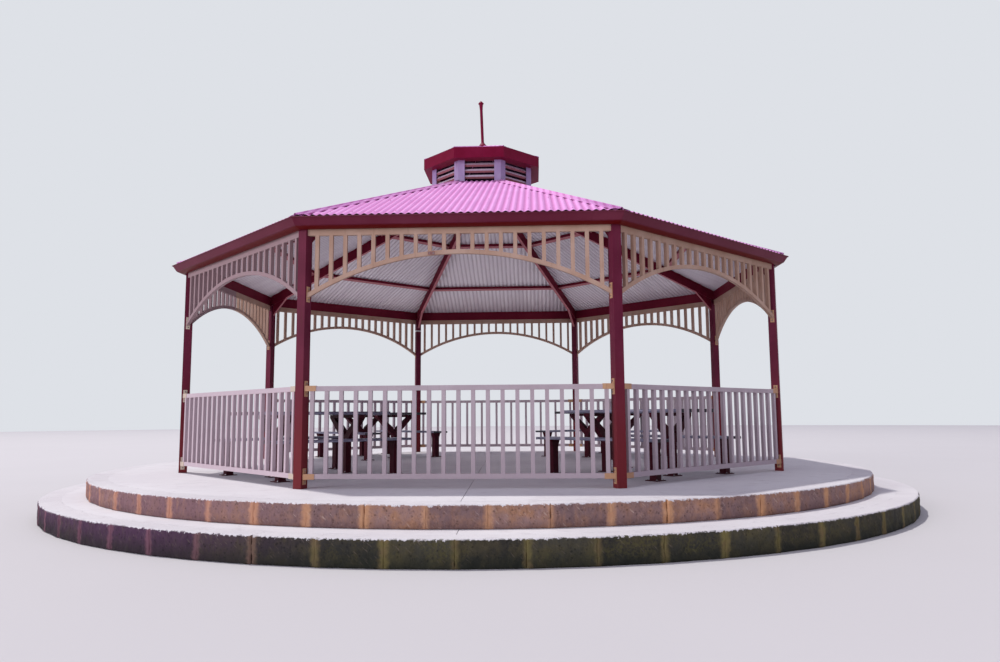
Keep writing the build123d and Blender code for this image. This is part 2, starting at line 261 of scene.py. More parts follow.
class Board:
    def __init__(self, name):
        self.material = bpy.data.materials.new(name)
        self.material.use_nodes = True
        self.tree = self.material.node_tree
        self.shader = self.tree.nodes["Principled BSDF"]
        self.place = self.add("ShaderNodeTexCoord", output="Object")
        parts = self.add("ShaderNodeSeparateXYZ", inputs={0: self.place}, output=None)
        self.x, self.y, self.z = (Wire(self, parts.outputs[i]) for i in range(3))

    def feed(self, socket, value):
        if isinstance(value, Wire):
            self.tree.links.new(value.socket, socket)
        else:
            socket.default_value = value

    def add(self, kind, settings=None, inputs=None, output=0):
        node = self.tree.nodes.new(kind)
        for key, value in (settings or {}).items():
            setattr(node, key, value)
        for key, value in (inputs or {}).items():
            self.feed(node.inputs[key], value)
        return node if output is None else Wire(self, node.outputs[output])

    def noise(self, size, detail=3, rough=0.55, place=None, stretch=None):
        place = place or self.place
        if stretch:
            place = self.add("ShaderNodeVectorMath", {"operation": "MULTIPLY"}, {0: place, 1: stretch})
        return self.add("ShaderNodeTexNoise", None, {"Vector": place, "Scale": 1 / size,
                                                     "Detail": detail, "Roughness": rough})

    def cells(self, size):
        return self.add("ShaderNodeTexVoronoi", {"feature": "F1"}, {"Vector": self.place, "Scale": 1 / size})

    def vector(self, x, y, z):
        return self.add("ShaderNodeCombineXYZ", None, {0: x, 1: y, 2: z})

    def lot(self, seed):
        # one even random number for each whole seed
        return self.add("ShaderNodeTexWhiteNoise", {"noise_dimensions": "1D"}, {"W": seed})

    def blend(self, factor, *colours):
        # from the first colour to the second, each a wire or red, green and blue up to 255
        first, second = (colour if isinstance(colour, Wire) else tint(*colour) for colour in colours)
        return self.add("ShaderNodeMix", {"data_type": "RGBA", "blend_type": "MIX"},
                        {0: factor, 6: first, 7: second}, output=2)

    def bearing(self):
        return self.y.calc("ARCTAN2", self.x)

    def upward(self):
        facing = self.add("ShaderNodeNewGeometry", output="Normal")
        parts = self.add("ShaderNodeSeparateXYZ", inputs={0: facing}, output=None)
        return Wire(self, parts.outputs[2])

    def bump(self, height, depth, strength):
        return self.add("ShaderNodeBump", None, {"Height": height, "Distance": depth, "Strength": strength})

    def coat(self, colour, rough, normal=None, metal=0.0, shine=0.5):
        self.shader.inputs["Specular IOR Level"].default_value = shine
        self.feed(self.shader.inputs["Base Color"], colour)
        self.feed(self.shader.inputs["Roughness"], rough)
        self.feed(self.shader.inputs["Metallic"], metal)
        if normal:
            self.feed(self.shader.inputs["Normal"], normal)
        return self.material


def sidePlace(board):
    # distance out from the middle and along the nearest side of the octagon
    nearest = (board.bearing() / turn).calc("ROUND") * turn
    cosine = nearest.calc("COSINE")
    sine = nearest.calc("SINE")
    out = board.x * cosine + board.y * sine
    along = board.y * cosine - board.x * sine
    return out, along


# paints

plainPaint = {"patch": 0.3, "runs": 0.3, "splash": 0.0, "chips": 0.2, "dust": 0.3, "dustTint": (176, 160, 150),
              "rough": 0.5, "shine": 0.25, "under": 0.0}
paints = {
    "post": {"colour": (98, 28, 52), "faded": (110, 38, 62), "dirt": (90, 48, 46),
             "bare": (150, 92, 84), "low": (120, 42, 42), "patch": 0.35, "splash": 0.45,
             "chips": 0.5, "dust": 0.25, "rough": 0.42, "shine": 0.1},
    # frame undersides take a paler tone: a painted highlight for light bounced up from below
    "frame": {"colour": (108, 22, 44), "faded": (122, 34, 54), "dirt": (76, 34, 38),
              "bare": (132, 78, 76), "underTint": (206, 134, 140), "under": 0.9,
              "patch": 0.5, "runs": 0.2, "dust": 0.4, "shine": 0.08},
    "gutter": {"colour": (98, 28, 50), "faded": (108, 42, 62), "dirt": (80, 20, 32),
               "bare": (136, 84, 84), "band": (3.09, (96, 8, 10)),
               "patch": 0.6, "runs": 0.35, "chips": 0.15, "rough": 0.42, "shine": 0.14},
    "fascia": {"colour": (112, 10, 44), "faded": (126, 22, 58), "dirt": (82, 16, 34),
               "bare": (146, 78, 84), "patch": 0.4, "chips": 0.1, "rough": 0.42, "shine": 0.08},
    "valance": {"colour": (178, 144, 124), "faded": (190, 160, 142), "dirt": (140, 104, 82),
                "bare": (128, 92, 74), "leftBay": (-1.65, (158, 132, 139)),
                "chips": 0.25, "dust": 0.35},
    "balustrade": {"colour": (182, 166, 172), "faded": (194, 180, 186), "dirt": (146, 122, 122),
                   "bare": (140, 112, 100), "leftBay": (-1.65, (212, 192, 198)),
                   "runs": 0.35, "splash": 0.3, "chips": 0.4, "rough": 0.48},
    "lantern": {"colour": (158, 138, 176), "faded": (174, 156, 190), "dirt": (112, 84, 96),
                "bare": (124, 92, 92), "patch": 0.2, "runs": 0.4},
    # louvre blade undersides are darkened: painted shade
    "louvre": {"colour": (204, 184, 204), "faded": (214, 198, 214), "dirt": (142, 80, 74),
               "bare": (124, 92, 92), "patch": 0.15, "dust": 0.2, "shine": 0.2, "under": 0.9},
    # a dark paint for the lantern sheets' underside: painted shade inside the lantern
    "inside": {"colour": (58, 34, 60), "faded": (70, 46, 72), "dirt": (48, 28, 40),
               "bare": (84, 62, 76), "chips": 0.1, "dust": 0.2, "rough": 0.6, "shine": 0.1},
    "bracket": {"colour": (190, 146, 112), "faded": (204, 164, 128), "dirt": (128, 88, 62),
                "bare": (112, 74, 56), "leftBay": (-1.65, (214, 200, 182)),
                "patch": 0.15, "runs": 0.4, "splash": 0.3, "chips": 0.4, "rough": 0.55},
    "furniture": {"colour": (66, 12, 28), "faded": (78, 20, 36), "dirt": (66, 38, 40),
                  "bare": (100, 64, 62), "patch": 0.25, "runs": 0.25, "splash": 0.4, "chips": 0.4,
                  "dust": 0.35, "rough": 0.45, "shine": 0.12},
}


def paintedSteel(name, coat):
    board = Board(name)
    floor = house["floor"]
    cloud = board.noise(coat["patch"], 4)
    fine = board.noise(0.012, 2)
    colour = board.blend(cloud.within(0.35, 0.7), coat["colour"], coat["faded"])
    runs = board.noise(0.05, 3, stretch=(1, 1, 0.08)).within(0.56, 0.78)
    colour = board.blend(runs * coat["runs"], colour, coat["dirt"])
    splash = 1 - (board.z - floor + board.noise(0.08, 3) * 0.12).within(0.05, 0.22)
    colour = board.blend(splash * coat["splash"], colour, coat["dirt"])
    chips = board.cells(0.035).within(0.0, 0.12)
    chips = (1 - chips) * board.noise(0.25, 2).within(0.58, 0.64)
    colour = board.blend(chips * coat["chips"], colour, coat["bare"])
    low = 1 - board.z.within(floor + 0.2, floor + 1.6)
    colour = board.blend(low * 0.75, colour, coat.get("low", coat["colour"]))
    # down-facing faces: a painted highlight under the frame, painted shade under the louvre blades
    under = 1 - board.upward().within(-0.75, -0.25)
    colour = board.blend(under * coat["under"], colour, coat.get("underTint", coat["dirt"]))
    if "band" in coat:
        # darker and redder below a level: painted shade on the gutter's lower curve
        level, redder = coat["band"]
        below = 1 - (board.z + board.noise(0.05, 3) * 0.012).within(level, level + 0.012)
        colour = board.blend(below, colour, redder)
    if "leftBay" in coat:
        # painted light on the front left bay: a paler sunlit tone on the balustrade and brackets, a cooler tone on
        # the valance for how light fell there
        x, tone = coat["leftBay"]
        here = (1 - board.x.within(x - 0.01, x)) * (1 - board.y.within(-0.01, 0.0))
        colour = board.blend(here * 0.85, colour, tone)
    dust = board.upward().within(0.6, 0.95) * board.noise(0.06, 3).within(0.3, 0.7)
    colour = board.blend(dust * coat["dust"], colour, coat["dustTint"])
    rough = cloud * 0.16 + coat["rough"] + dust * 0.2 - fine * 0.06
    peel = board.bump(fine * 0.5 + chips * -0.6, 0.0008, 0.5)
    return board.coat(colour, rough, peel, shine=coat["shine"])


coats = {name: paintedSteel(name + "Paint", {**plainPaint, **coat}) for name, coat in paints.items()}

sheeting = {"wave": 0.076, "depth": 0.0146, "thick": 0.0009, "lift": 0.0003, "spare": 0.04}
sheetLook = {"crest": (228, 156, 218), "faded": (236, 170, 228), "pan": (200, 116, 180),
             "streak": (206, 118, 178), "speck": (158, 88, 118),
             "backing": (250, 244, 248), "dull": (238, 230, 236), "groove": (192, 176, 184),
             "dust": (176, 154, 148)}


def panPhase(board, along):
    # 1 at the bottom of each pan, 0 on the crests
    return (along * (2 * math.pi / sheeting["wave"])).calc("COSINE") * 0.5 + 0.5


def roofCoat():
    # faded sheet: pale crests, painted shade in the pans, streaks running down the fall
    board = Board("roofPaint")
    out, along = sidePlace(board)
    streak = board.noise(1.0, 4, 0.6, board.vector(along * 9, out * 0.55, 0.0))
    colour = board.blend(board.noise(0.7, 3).within(0.35, 0.7), sheetLook["crest"], sheetLook["faded"])
    # painted shade in the pans
    colour = board.blend(panPhase(board, along).within(0.35, 1.0) * 0.75, colour, sheetLook["pan"])
    colour = board.blend(streak.within(0.5, 0.8) * 0.4, colour, sheetLook["streak"])
    colour = board.blend(board.noise(0.02, 3).within(0.62, 0.8) * 0.25, colour, sheetLook["speck"])
    grain = board.bump(board.noise(0.01, 2), 0.0004, 0.4)
    return board.coat(colour, streak * 0.15 + 0.52, grain, shine=0.2)


def ceilingCoat():
    # the sheets' pale backing coat, with painted shade in the grooves and dusty blotches
    board = Board("sheetBacking")
    out, along = sidePlace(board)
    streak = board.noise(1.0, 3, 0.6, board.vector(along * 6, out * 0.4, 0.0))
    colour = board.blend(streak.within(0.35, 0.75), sheetLook["backing"], sheetLook["dull"])
    # painted shade in the grooves
    colour = board.blend((1 - panPhase(board, along)).within(0.4, 1.0) * 0.6, colour, sheetLook["groove"])
    colour = board.blend(board.noise(0.3, 4).within(0.6, 0.85) * 0.35, colour, sheetLook["dust"])
    return board.coat(colour, streak * 0.12 + 0.34, board.bump(board.noise(0.008, 2), 0.0003, 0.3), 0.2)


concrete = {"colour": (215, 212, 214), "worn": (225, 223, 224),
            "stain": (200, 195, 198), "spot": (174, 166, 170)}


def concreteTint(board):
    # worn pale with use, with spots and dried runs
    mottle = board.noise(0.22, 5, 0.6)
    colour = board.blend(board.noise(1.4, 4).within(0.35, 0.7), concrete["colour"], concrete["worn"])
    colour = board.blend(mottle.within(0.52, 0.75) * 0.5, colour, concrete["stain"])
    spots = 1 - board.cells(0.16).within(0.02, 0.14)
    colour = board.blend(spots * board.noise(0.4, 2).within(0.5, 0.6) * 0.5, colour, concrete["spot"])
    return board.blend(board.noise(0.005, 2).within(0.55, 0.8) * 0.35, colour, concrete["spot"])


def wornEdge(board, look):
    # dusty tops and the pale top edge, ragged, with dark notches where chips have gone
    level = look["low"] + look["rise"]
    ragged = (board.noise(0.03, 4, 0.65) - 0.5) * 0.09
    edge = (board.z - level + 0.011 + ragged).within(0.0, 0.006)
    edge = edge * (1 - board.noise(0.05, 3).within(0.6, 0.68) * 0.7)
    return board.upward().within(0.45, 0.8).calc("MAXIMUM", edge)


# the left-hand part of the steps takes another tone: partly the stone's own colour, partly painted sunlight
def leftSide(board):
    return 1 - board.x.within(-2.6, -0.6)


def mortarTint(board, look, detail):
    warm = board.noise(0.1, detail).within(0.35, 0.7)
    # pinker joints on the left, partly painted sunlight
    return board.blend(leftSide(board), board.blend(warm, look["mortar"], look["mortarWarm"]), look["mortarLeft"])


def stoneCoat(name, look):
    # pitched stone: tone by block, smeared joints, rusty runs, flecks, scratches, darker low down with damp, moss and
    # painted shade
    board = Board(name)
    bearing = board.bearing()
    pitch = 2 * math.pi / look["count"]
    along = (bearing - math.radians(look["first"])) / pitch
    own = board.lot(along.calc("FLOOR"))
    left = leftSide(board)
    patch = board.noise(0.16, 4, 0.6)
    colour = board.blend(own, look["dark"], look["light"])
    # the left tone: partly the stone's own, partly painted sunlight
    colour = board.blend(left * look["leftShare"], colour, look["left"])
    colour = board.blend(patch.within(0.42, 0.7) * 0.8 * (1 - left * look["leftShare"]), colour, look["warm"])
    tan = own.within(0.45, 0.75) * board.noise(0.14, 4, 0.6).within(0.4, 0.68)
    colour = board.blend(tan * look["tan"], colour, look["rust"])
    stains = board.noise(0.06, 5, 0.65, stretch=(1, 1, 0.35)).within(0.48, 0.82)
    colour = board.blend(stains * look["stains"], colour, look["rust"])
    flecks = (1 - board.cells(0.032).within(0.1, 0.42)) * board.noise(0.05, 3).within(0.42, 0.6)
    pits = (1 - board.cells(0.011).within(0.05, 0.42)) * board.noise(0.05, 3).within(0.4, 0.6)
    colour = board.blend(flecks * 0.6 + pits * 0.3, colour, look["pit"])
    grain = board.noise(0.028, 5, 0.7, stretch=(1, 1, 0.6)).within(0.5, 0.72)
    colour = board.blend(grain * look["grain"], colour, look["pit"])
    arc = bearing * look["radius"]
    slant = board.vector((arc + board.z) * 10, (arc - board.z) * 1.4, own)
    scratch = board.noise(0.18, 3, 0.6, slant).within(0.62, 0.7)
    colour = board.blend(scratch * 0.45, colour, look["scratch"])
    # darker low down: damp and moss, with painted shade towards the foot
    lift = (board.z - look["low"]) / look["rise"]
    damp = (1 - (lift + patch * 0.5 - 0.25).within(0.0, look["dampTo"])) * look["damp"]
    colour = board.blend(damp, colour, look["moss"])
    green = board.noise(0.3, 4).within(0.42, 0.75) * look["lichen"] * lift.within(0.1, 0.5) * (1 - left)
    colour = board.blend(green * board.noise(0.02, 3).within(0.4, 0.6), colour, look["lichenTint"])
    joint = along.calc("ROUND")
    wide = board.lot(joint + 0.37)
    away = ((along - joint) * (pitch * look["radius"])).calc("ABSOLUTE")
    away = away + (board.noise(0.04, 5, 0.65) - 0.5) * 0.08 - wide * look["smear"]
    smear = (1 - away.within(-0.004, 0.046)) * (wide * 0.35 + 0.55)
    colour = board.blend(smear * (1 - damp * 0.3), colour, mortarTint(board, look, 3))
    colour = board.blend(wornEdge(board, look), colour, concreteTint(board))
    rough = board.noise(0.03, 5, 0.65)
    chisel = board.noise(0.02, 3, 0.6, stretch=(1, 1, 0.35))
    relief = rough * 0.5 - pits * 0.2 + chisel * 0.5
    return board.coat(colour, 0.82 + rough * 0.12, board.bump(relief, 0.009, 1.0), shine=0.2)


def mortarCoat(name, look):
    board = Board(name)
    grain = board.noise(0.006, 3)
    colour = board.blend(grain.within(0.5, 0.8) * 0.4, mortarTint(board, look, 4), look["pit"])
    # darker low down: damp, with painted shade towards the foot
    lift = (board.z - look["low"]) / look["rise"]
    damp = (1 - (lift + board.noise(0.07, 3) * 0.4).within(0.1, 0.9)) * look["damp"]
    colour = board.blend(damp * 0.5, colour, look["moss"])
    colour = board.blend(wornEdge(board, look), colour, concreteTint(board))
    return board.coat(colour, 0.92, board.bump(grain + board.noise(0.03, 3), 0.004, 0.8), shine=0.2)


def concreteCoat(name):
    board = Board(name)
    side = 1 - board.upward().within(0.3, 0.7)
    colour = board.blend(side * 0.8, concreteTint(board), concrete["spot"])
    mottle = board.noise(0.22, 5, 0.6)
    relief = board.bump(board.noise(0.005, 2) * 0.5 + mottle, 0.002, 0.6)
    return board.coat(colour, 0.8 - mottle * 0.12, relief, shine=0.25)


# the bluish tint of the aluminium is a painted sky reflection
plankLook = {"metal": (136, 134, 156), "worn": (160, 158, 178), "grime": (88, 80, 88),
             "cap": (44, 42, 50), "scuffed": (74, 70, 78)}


def plankCoat():
    board = Board("plankMetal")
    brushed = board.noise(0.02, 3, stretch=(0.6, 0.6, 1))
    colour = board.blend(board.noise(0.22, 4).within(0.45, 0.75), plankLook["metal"], plankLook["worn"])
    colour = board.blend(board.noise(0.015, 4).within(0.62, 0.8) * 0.4, colour, plankLook["grime"])
    return board.coat(colour, brushed * 0.2 + 0.34, board.bump(brushed, 0.0002, 0.4), 0.3)


def boltCoat(name, colour, dark, metal):
    board = Board(name)
    wear = board.noise(0.006, 3)
    mixed = board.blend(wear.within(0.4, 0.7), colour, dark)
    return board.coat(mixed, wear * 0.3 + 0.3, board.bump(wear, 0.0004, 0.4), metal)


def capCoat():
    board = Board("endCapPlastic")
    scuff = board.noise(0.01, 3)
    colour = board.blend(scuff.within(0.45, 0.75), plankLook["cap"], plankLook["scuffed"])
    return board.coat(colour, scuff * 0.2 + 0.4, board.bump(scuff, 0.0003, 0.4))


roofPaint = roofCoat()
sheetBacking = ceilingCoat()
plankMetal = plankCoat()
endCap = capCoat()
zincBolt = boltCoat("zincBolt", (160, 158, 164), (112, 104, 104), 0.7)
roofBolt = boltCoat("roofBolt", (206, 134, 186), (180, 100, 148), 0.0)
print("paints ready")


# roof sheets

mainRoof = {**sheeting, "facets": 12, "hipGap": 0.02, "outer": 4.0297, "inner": 0.7532,
            "pitch": house["roofPitch"],
            "level": house["sheetLevel"] - house["overhang"] * math.tan(house["roofPitch"])}
mainCap = {"half": 0.104, "roll": 0.013, "lip": 0.005, "thick": 0.001, "over": 0.0022}
capEase = {"edge": 0.001, "shoulder": 0.004, "spare": 0.3}


def hipPlane(hand):
    # outward normal of the upright plane through one hip of the front side
    return Vector((hand * math.cos(half), math.sin(half), 0))


def corrugatedSide(name, sheet):
    # one wave is drawn out facet by facet, then repeated across the side
    facets, wave, pitch = sheet["facets"], sheet["wave"], sheet["pitch"]
    step = wave / facets
    run = (sheet["outer"] - sheet["inner"]) / math.cos(pitch) + sheet["spare"]
    heights = [sheet["depth"] / 2 * (1 - math.cos(2 * math.pi * i / facets)) for i in range(facets + 1)]
    piece = startStrip(name, step, run)
    edit(piece)
    pick(piece, "VERT", lambda v: v.co.x > 0)
    move((0, 0, heights[1]))
    for i in range(1, facets):
        edge = step / 2 + step * (i - 1)
        pick(piece, "EDGE", lambda e: all(v.co.x > edge - step / 4 for v in e.verts))
        pull((step, 0, heights[i + 1] - heights[i]))
    leave()
    count = 2 * math.ceil(sheet["outer"] * math.tan(half) / wave) + 2
    modify(piece, "ARRAY", count=count, use_relative_offset=False, use_constant_offset=True,
           constant_offset_displace=(wave, 0, 0), use_merge_vertices=True, merge_threshold=0.0002)
    middle = count * wave / 2
    up = Vector((0, math.cos(pitch), math.sin(pitch)))
    lift = Vector((0, -math.sin(pitch), math.cos(pitch))) * (sheet["thick"] + sheet["lift"])
    piece.rotation_euler.x = pitch
    piece.location = Vector((step / 2 - middle, -sheet["outer"], sheet["level"])) + up * run / 2 + lift
    placed(piece)
    edit(piece)
    for hand in (-1, 1):
        cutOff(hipPlane(hand) * (-sheet["hipGap"] / 2), hipPlane(hand))
    cutOff((0, -sheet["inner"], 0), (0, 1, 0))
    leave()
    for coat in (roofPaint, sheetBacking):
        piece.data.materials.append(coat)
    modify(piece, "SOLIDIFY", thickness=sheet["thick"], offset=-1.0, material_offset=1, material_offset_rim=0)
    smoothed(piece, 40)
    return piece


def hipFrame(sheet, raised):
    # axes of the hip between the front and front-right sides
    pitch = sheet["pitch"]
    first = Vector((0, -math.sin(pitch), math.cos(pitch)))
    second = Matrix.Rotation(turn, 3, "Z") @ first
    along = first.cross(second).normalized()
    across = hipPlane(1)
    upright = across.cross(along)
    corner = Vector((math.sin(half), -math.cos(half), 0)) * (sheet["outer"] / math.cos(half))
    corner += Vector((0, 0, sheet["level"] + raised / math.cos(pitch)))
    fall = first.cross(along)
    drop = abs(fall.dot(upright)) / abs(fall.dot(across))
    return corner, along, across, upright, drop


def hipCap(name, cap, sheet):
    corner, along, across, upright, drop = hipFrame(sheet, sheet["depth"] + cap["over"])
    outer, inner = sheet["outer"], sheet["inner"]
    run = (outer - inner) / math.cos(half) / math.hypot(along.x, along.y)
    wing, roll, edge = cap["half"], cap["roll"], capEase["edge"]
    shoulder = roll + capEase["shoulder"]
    # one side's lip, wing and shoulder, then the roll, then the other side
    outline = [(-wing, -wing * drop - cap["lip"]), (-wing + edge, -wing * drop + edge),
               (-shoulder, -shoulder * drop + edge)]
    for i in range(9):
        swing = math.pi * i / 8
        outline.append((-roll * math.cos(swing), roll * math.sin(swing) * 0.9))
    outline += [(-x, z) for x, z in reversed(outline[:3])]
    (firstX, firstZ), (secondX, secondZ) = outline[:2]
    width = abs(secondX - firstX)
    piece = startStrip(name, width, run + capEase["spare"])
    edit(piece)
    pick(piece, "VERT", lambda v: v.co.x > 0)
    move((0, 0, secondZ - firstZ))
    bpy.ops.mesh.select_all(action="SELECT")
    move((firstX + width / 2, 0, firstZ))
    for (x0, z0), (x1, z1) in zip(outline[1:], outline[2:]):
        pick(piece, "EDGE", lambda e: all(abs(v.co.x - x0) < 0.00005 and abs(v.co.z - z0) < 0.00005 for v in e.verts))
        pull((x1 - x0, 0, z1 - z0))
    leave()
    middle = corner + along * run / 2
    piece.matrix_world = Matrix.Translation(middle) @ Matrix((across, along, upright)).transposed().to_4x4()
    placed(piece)
    edit(piece)
    cutOff((0, -outer, 0), (0, -1, 0))
    right = Matrix.Rotation(turn, 3, "Z") @ Vector((0, -1, 0))
    cutOff(right * outer, right)
    tip = Vector((math.sin(half), -math.cos(half), 0))
    cutOff(tip * (inner / math.cos(half)), -tip)
    leave()
    tidied(piece, 35)
    modify(piece, "SOLIDIFY", thickness=cap["thick"], offset=0.0)
    return piece


laid(corrugatedSide("roofSheets", mainRoof), around(), [roofPaint, sheetBacking], ["roof_sheets"])
laid(hipCap("hipCaps", mainCap, mainRoof), around(), roofPaint, ["hip_caps"])
print("roof sheets and cappings")


# roof screws

roofScrew = {"head": 0.0045, "washer": 0.007, "height": 0.004, "every": 3, "endGap": 0.13,
             "rows": (3.903, 3.006, 1.697)}
hexHead = {"washerThick": 0.002, "taper": 0.86}


def hexScrew(name, screw):
    # washer first, then the six-sided head drawn up from it
    thick, taper = hexHead["washerThick"], hexHead["taper"]
    piece = startRod(name, screw["washer"], thick, (0, 0, thick / 2), 6)
    edit(piece)
    pick(piece, "FACE", lambda f: f.normal.z > 0.9)
    bpy.ops.mesh.inset(thickness=screw["washer"] - screw["head"])
    pull((0, 0, screw["height"]))
    bpy.ops.transform.resize(value=(taper, taper, 1), center_override=(0, 0, screw["height"]))
    leave()
    return piece


def roofScrewPlaces():
    places = []
    wave = mainRoof["wave"]
    tilt = Matrix.Rotation(house["roofPitch"], 4, "X")
    for row in roofScrew["rows"]:
        reach = row * math.tan(half) - roofScrew["endGap"]
        count = int(reach / (wave * roofScrew["every"]))
        level = house["sheetLevel"] + (house["postLine"] - row) * math.tan(house["roofPitch"])
        top = Vector((0, -row, level)) + tilt.to_3x3() @ Vector((0, 0, mainRoof["depth"] + 0.001))
        for i in range(-count, count + 1):
            spot = top + Vector((i * wave * roofScrew["every"] + wave / 2, 0, 0))
            places += [spin @ Matrix.Translation(spot) @ tilt for spin in around()]
    return places


laid(hexScrew("roofScrews", roofScrew), roofScrewPlaces(), roofBolt)
print("roof screws")


# gutters

lipBead = {"radius": 0.006, "out": 4.0743, "lipOut": 4.0733, "level": 3.168, "mitre": 0.0002, "spare": 0.1}


def gutterBead():
    length = 2 * lipBead["lipOut"] * math.tan(half) + lipBead["spare"]
    piece = startRod("gutterBeads", lipBead["radius"], length, (0, -lipBead["out"], lipBead["level"]), 12, True)
    edit(piece)
    for hand in (-1, 1):
        cutOff(hipPlane(hand) * -lipBead["mitre"], hipPlane(hand), fill=True)
    leave()
    tidied(piece, 50)
    return piece


laid(gutterBead(), around(), coats["gutter"])
coatNodes(coats["gutter"], "gutter_front", "gutters")
print("gutters")


# lantern

lanternRoof = {**sheeting, "facets": 10, "hipGap": 0.012, "outer": 0.8712, "inner": 0.03,
               "level": 5.0165, "pitch": math.radians(20)}
lanternCap = {"half": 0.05, "roll": 0.009, "lip": 0.003, "thick": 0.001, "over": 0.002}
# the lantern sheets' underside takes the dark inside paint, a painted shade seen between the louvres
laid(corrugatedSide("lanternSheets", lanternRoof), around(),
     [roofPaint, coats["inside"]], ["lantern_roof"])
laid(hipCap("lanternCaps", lanternCap, lanternRoof), around(), roofPaint)
coatNodes(coats["lantern"], "lantern_corners")
coatNodes(coats["louvre"], "lantern_blades")
coatNodes(coats["fascia"], "lantern_fascia", "lantern_soffit")
print("lantern")


# finial

finialShape = {"foot": 5.3485, "lean": math.radians(-2),
               "outline": [(0.064, -0.055), (0.064, 0.004), (0.060, 0.010), (0.036, 0.040), (0.029, 0.052),
                           (0.0225, 0.062), (0.0225, 0.30), (0.0225, 0.596), (0.0245, 0.602), (0.0245, 0.612),
                           (0.0240, 0.618), (0.0312, 0.684), (0.0312, 0.692), (0.0425, 0.695), (0.0435, 0.698),
                           (0.0425, 0.702), (0.030, 0.717), (0.016, 0.732), (0.006, 0.741), (0.002, 0.7445)]}


def lathe(name, outline, corners):
    # a circle drawn up and resized ring by ring
    clearSelection()
    bpy.ops.mesh.primitive_circle_add(vertices=corners, radius=outline[0][0],
                                      location=(0, 0, outline[0][1]), fill_type="NGON")
    piece = started(name)
    placed(piece)
    edit(piece)
    for (wide, level), (nextWide, nextLevel) in zip(outline, outline[1:]):
        pull((0, 0, nextLevel - level))
        size = nextWide / wide
        bpy.ops.transform.resize(value=(size, size, 1), center_override=(0, 0, nextLevel))
    leave()
    tidied(piece, 40)
    return piece


finial = lathe("finialRod", finialShape["outline"], 24)
leaning = Matrix.Rotation(finialShape["lean"], 4, "Y")
finial.data.transform(Matrix.Translation((0, 0, finialShape["foot"])) @ leaning)
finished(finial, coats["fascia"], ["finial"])
print("finial")


# stone steps

blockwork = {"joint": 0.004, "bed": 0.003, "depth": 0.24, "margin": 0.024, "draft": 0.008, "belly": 0.006,
             "slip": 0.12, "sunk": 0.005, "twist": 0.012,   # how unevenly the blocks are laid
             "rim": 0.012, "rimShare": 0.45, "midLevel": 0.45,   # how far the faces' rims move
             "bedIn": 0.032, "bedUnder": 0.002, "clear": 0.0005}
upperStep = {**blockwork, "count": 64, "first": 4.136, "radius": 5.26, "low": 0.225, "rise": 0.2,
             "light": (162, 132, 126), "dark": (128, 104, 104), "warm": (152, 116, 98),
             "rust": (182, 134, 98), "pit": (66, 44, 42), "scratch": (206, 184, 172),
             "moss": (92, 68, 66), "lichenTint": (124, 112, 90), "left": (144, 108, 116),
             "mortar": (196, 146, 106), "mortarWarm": (212, 164, 124), "mortarLeft": (208, 152, 124),
             "leftShare": 0.6, "grain": 0.4, "tan": 0.6, "smear": 0.03, "stains": 0.45,
             "damp": 0.4, "dampTo": 0.5, "lichen": 0.2}
lowerStep = {**blockwork, "count": 66, "first": 4.302, "radius": 5.73, "low": 0.0, "rise": 0.225,
             "light": (74, 72, 64), "dark": (50, 49, 47), "warm": (78, 72, 54),
             "rust": (100, 92, 56), "pit": (26, 24, 26), "scratch": (128, 114, 104),
             "moss": (30, 34, 26), "lichenTint": (90, 86, 50), "left": (86, 58, 84),
             "mortar": (120, 110, 66), "mortarWarm": (122, 104, 72), "mortarLeft": (134, 92, 106),
             "leftShare": 0.9, "grain": 0.35, "tan": 0.35, "smear": 0.02, "stains": 0.35,
             "damp": 0.7, "dampTo": 0.9, "lichen": 0.5}


def rockTexture(name, kind, size, **settings):
    texture = bpy.data.textures.new(name, kind)
    texture.noise_scale = size
    for key, value in settings.items():
        setattr(texture, key, value)
    return texture


rockFace = (   # each texture with its depth
    (rockTexture("broadRock", "CLOUDS", 0.16, noise_depth=2), 0.016),
    (rockTexture("splitRock", "VORONOI", 0.075, distance_metric="MANHATTAN"), 0.010),
    (rockTexture("fineRock", "CLOUDS", 0.028, noise_depth=3), 0.008),
)


def stoneBlock(step):
    # dressed bed and ends, with a face that is pitched out from a narrow margin
    wide = 2 * math.pi * step["radius"] / step["count"] - step["joint"]
    front = step["radius"] - step["margin"]
    body = step["depth"] - step["margin"]
    middle = (0, -(front - body / 2), step["low"] + step["rise"] / 2)
    block = startBox("block", (wide, body, step["rise"] - step["bed"]), middle)
    edit(block)
    pick(block, "FACE", lambda f: f.normal.y < -0.9)
    bpy.ops.mesh.inset(thickness=step["draft"])
    move((0, -step["belly"], 0))
    edge = -(front - 0.01)
    for axis, reach, cuts in ((0, wide, 36), (2, step["rise"], 13)):
        pick(block, "EDGE", lambda e: all(v.co.y < edge for v in e.verts)
             and abs(e.verts[0].co[axis] - e.verts[1].co[axis]) > reach / 2)
        bpy.ops.mesh.subdivide(number_cuts=cuts, smoothness=0)
    leave()
    return block


